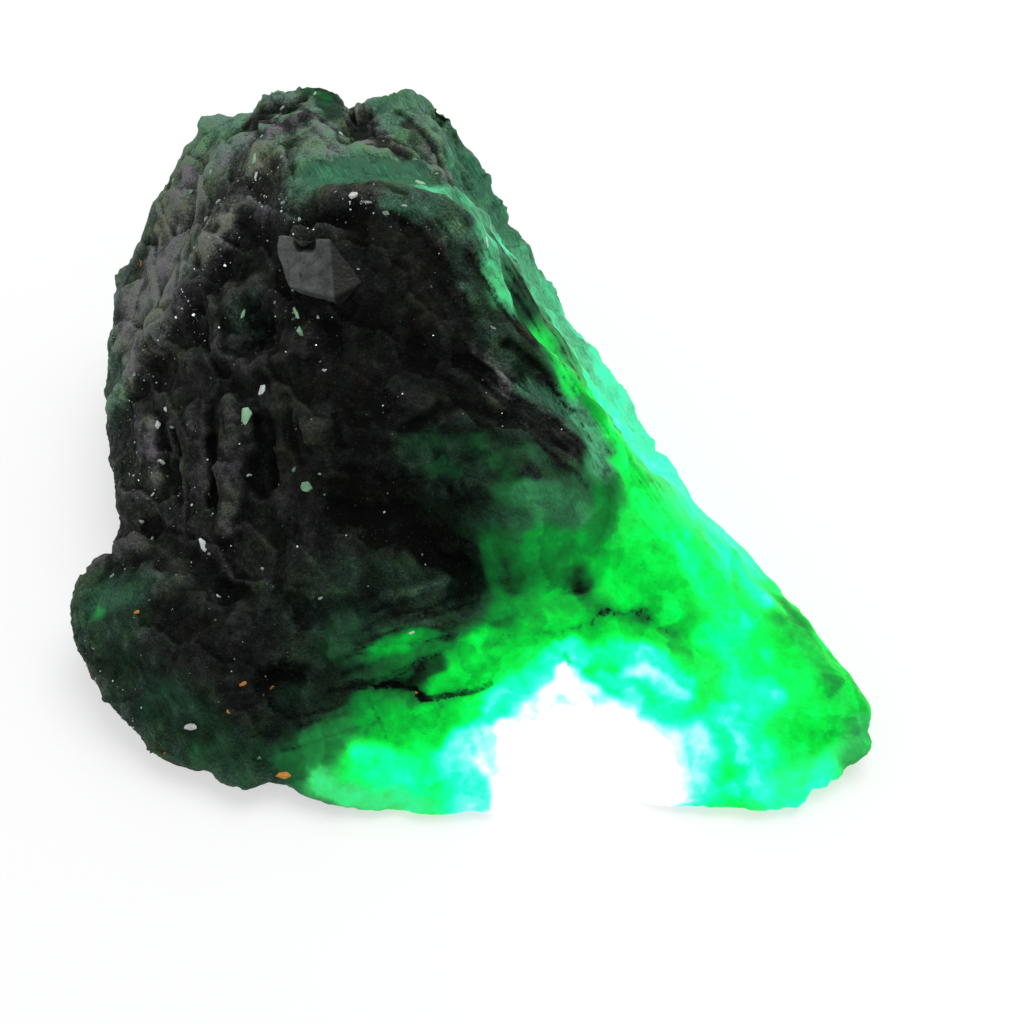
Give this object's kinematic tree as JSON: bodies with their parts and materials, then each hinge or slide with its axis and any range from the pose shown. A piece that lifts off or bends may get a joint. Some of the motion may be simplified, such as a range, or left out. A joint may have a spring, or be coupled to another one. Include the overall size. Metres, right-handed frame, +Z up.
{
  "type": "raw emerald crystal",
  "caption": "Rough emerald in dark mica schist: a lumpy, pitted dark mass at one side that turns into clear green beryl and narrows to a thin tip.",
  "frame": {"origin": "centre of the stone's footprint, on the face it lies on", "axes": "+X along the stone from the schist lobe to the green tip, +Y towards the blunt far side, +Z up"},
  "size_m": [0.052, 0.0454, 0.0255],
  "materials": {
    "emerald_in_schist": "rough, glassy on the green side",
    "feldspar": "pale grey, flat cleavage faces",
    "mica": "small bright flakes",
    "ochre_grain": "dull"
  },
  "bodies": {
    "root": {"raw_emerald": "emerald_in_schist"}
  },
  "joints": []
}
